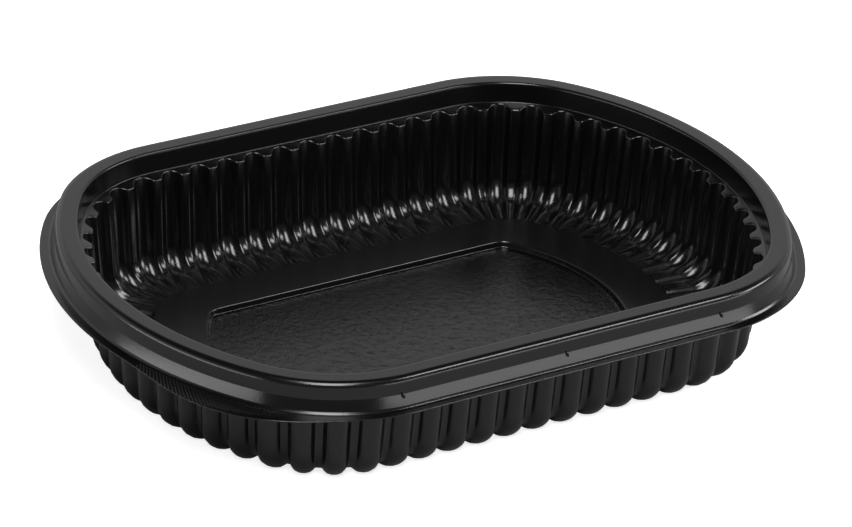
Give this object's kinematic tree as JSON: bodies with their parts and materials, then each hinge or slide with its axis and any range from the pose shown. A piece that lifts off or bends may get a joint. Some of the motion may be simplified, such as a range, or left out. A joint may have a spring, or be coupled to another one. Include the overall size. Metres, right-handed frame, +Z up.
{
  "type": "plastic meal tray",
  "caption": "Shallow oblong takeaway tray moulded in one piece, with a fluted wall, a stepped rim with a flange and corner grip tab, and a sunken floor panel.",
  "frame": {"origin": "centre of the tray's bounding box, on the plane that it stands on", "axes": "+X along the long side, +Y along the short side, away from the grip tab's side, +Z up out of the open top; the grip tab is at the -X -Y corner"},
  "size_m": [0.24, 0.1786, 0.041],
  "materials": {
    "tray_plastic": "semi-gloss black polypropylene"
  },
  "bodies": {
    "root": {"meal_tray": "tray_plastic"}
  },
  "joints": []
}
